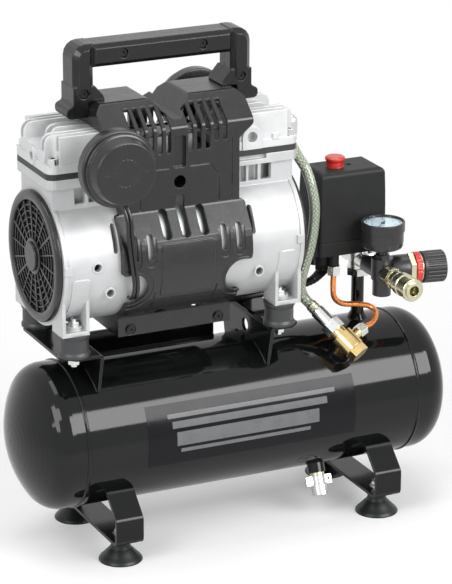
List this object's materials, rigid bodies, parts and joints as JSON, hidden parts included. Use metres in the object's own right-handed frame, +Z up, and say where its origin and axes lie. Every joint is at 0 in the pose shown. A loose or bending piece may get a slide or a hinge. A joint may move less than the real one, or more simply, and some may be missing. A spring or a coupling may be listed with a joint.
{
  "type": "air compressor",
  "caption": "Portable oil-free air compressor: twin-cylinder motor with dark covers and a carry handle on a horizontal round tank with rubber suction feet.",
  "frame": {"origin": "on the floor, under the middle of the tank and of the whole machine", "axes": "+X along the tank to the pressure switch end, -Y is the front with the hose and coupler, +Z up"},
  "size_m": [0.4452, 0.215, 0.488],
  "materials": {
    "tank_paint": "gloss black paint",
    "bracket_paint": "gloss black paint",
    "cast_alu": "cast, silver paint",
    "steel_zinc": "zinc plated",
    "core_steel": "laminated",
    "winding_copper": "enamelled copper",
    "shaft_steel": "ground",
    "rotor_alu": "turned",
    "dark_plastic": "fine grain",
    "handle_plastic": "fine grain",
    "fan_plastic": "smooth",
    "gasket_black": "black plate with gaskets",
    "rubber": "matt",
    "felt": "felt",
    "cap_plastic": "smooth",
    "cable_black": "smooth",
    "hose_braid": "steel braid under a clear sheath",
    "brass": "machined",
    "copper": "drawn copper tube",
    "nickel": "nickel plated",
    "switch_plastic": "fine grain",
    "red_plastic": "smooth",
    "knob_plastic": "ribbed",
    "gauge_black": "smooth",
    "needle_red": "painted",
    "glass": "clear",
    "spring_steel": "bright"
  },
  "bodies": {
    "frame": {"tank_shell": "tank_paint", "tank_heads": "tank_paint", "riser_pipe": "tank_paint", "foot_strap_left": "bracket_paint", "foot_strap_right": "bracket_paint", "foot_cups": "rubber", "foot_bolts": "steel_zinc", "mount_bracket_left": "bracket_paint", "mount_bracket_right": "bracket_paint", "rubber_mounts": "rubber", "mount_nuts": "steel_zinc", "crankcase_left": "cast_alu", "crankcase_right": "cast_alu", "stator_core": "core_steel", "stator_windings": "winding_copper", "shaft_bearings": "shaft_steel", "fan_cover_left": "dark_plastic", "fan_cover_right": "dark_plastic", "cylinder_sleeves": "cast_alu", "valve_plates": "gasket_black", "cylinder_head_left": "cast_alu", "cylinder_head_right": "cast_alu", "head_bolts": "steel_zinc", "filter_shells": "dark_plastic", "filter_elements": "felt", "filter_caps": "dark_plastic", "transfer_pipe": "shaft_steel", "capacitor": "cap_plastic", "front_cover": "dark_plastic", "rear_cover": "dark_plastic", "handle_front": "handle_plastic", "handle_rear": "handle_plastic", "case_screws": "steel_zinc", "cables": "cable_black", "hose": "hose_braid", "pipe_nuts": "steel_zinc", "check_valve_body": "brass", "unloader_pipe": "copper", "manifold": "steel_zinc", "safety_valve": "brass", "switch_base": "switch_plastic", "switch_cover": "switch_plastic", "regulator_body": "gauge_black", "gauge_case": "gauge_black", "gauge_lens": "glass", "coupler_body": "nickel", "drain_valve": "nickel"},
    "shaft": {"motor_shaft": "shaft_steel", "rotor_core": "rotor_alu", "eccentrics": "rotor_alu", "cooling_fans": "fan_plastic"},
    "piston_left": {"piston_rod_left": "cast_alu"},
    "piston_right": {"piston_rod_right": "cast_alu"},
    "button": {"switch_button": "red_plastic"},
    "knob": {"regulator_knob": "knob_plastic"},
    "needle": {"gauge_needle": "needle_red"},
    "poppet": {"check_valve_poppet": "spring_steel"},
    "relief_ring": {"safety_ring": "spring_steel"},
    "quick_sleeve": {"coupler_sleeve": "nickel"},
    "drain_tap": {"drain_lever": "steel_zinc"}
  },
  "joints": [
    {"name": "shaft_spin", "type": "hinge", "parent": "frame", "child": "shaft", "pos_m": [-0.072, 0, 0.2915], "axis": [1, 0, 0], "continuous": true},
    {"name": "piston_left_stroke", "type": "slide", "parent": "frame", "child": "piston_left", "axis": [0, 0, 1], "range_m": [-0.006, 0.006]},
    {"name": "piston_right_stroke", "type": "slide", "parent": "frame", "child": "piston_right", "axis": [0, 0, 1], "range_m": [-0.006, 0.006]},
    {"name": "button_press", "type": "slide", "parent": "frame", "child": "button", "axis": [0, 0, 1], "range_m": [-0.005, 0]},
    {"name": "knob_turn", "type": "hinge", "parent": "frame", "child": "knob", "pos_m": [0.1409, -0.0465, 0.244], "axis": [0.9848, -0.1736, 0], "range_deg": [0, 720]},
    {"name": "needle_swing", "type": "hinge", "parent": "frame", "child": "needle", "pos_m": [0.1409, -0.0465, 0.2855], "axis": [0, 0, -1], "range_deg": [0, 270]},
    {"name": "poppet_lift", "type": "slide", "parent": "frame", "child": "poppet", "axis": [0.4305, -0.6914, -0.5802], "range_m": [0, 0.003], "stiffness_N_per_m": 150, "springref_m": -0.003},
    {"name": "relief_pull", "type": "slide", "parent": "frame", "child": "relief_ring", "axis": [0, 1, 0], "range_m": [0, 0.002], "stiffness_N_per_m": 800, "springref_m": -0.002},
    {"name": "sleeve_pull", "type": "slide", "parent": "frame", "child": "quick_sleeve", "axis": [0, 1, 0], "range_m": [0, 0.0035], "stiffness_N_per_m": 500, "springref_m": -0.004},
    {"name": "drain_turn", "type": "hinge", "parent": "frame", "child": "drain_tap", "pos_m": [0.081, -0.02958, 0.04956], "axis": [0, -0.4226, -0.9063], "range_deg": [0, 90]}
  ],
  "couplings": [
    {"joint": "piston_right_stroke", "follows": "piston_left_stroke", "ratio": -1}
  ]
}
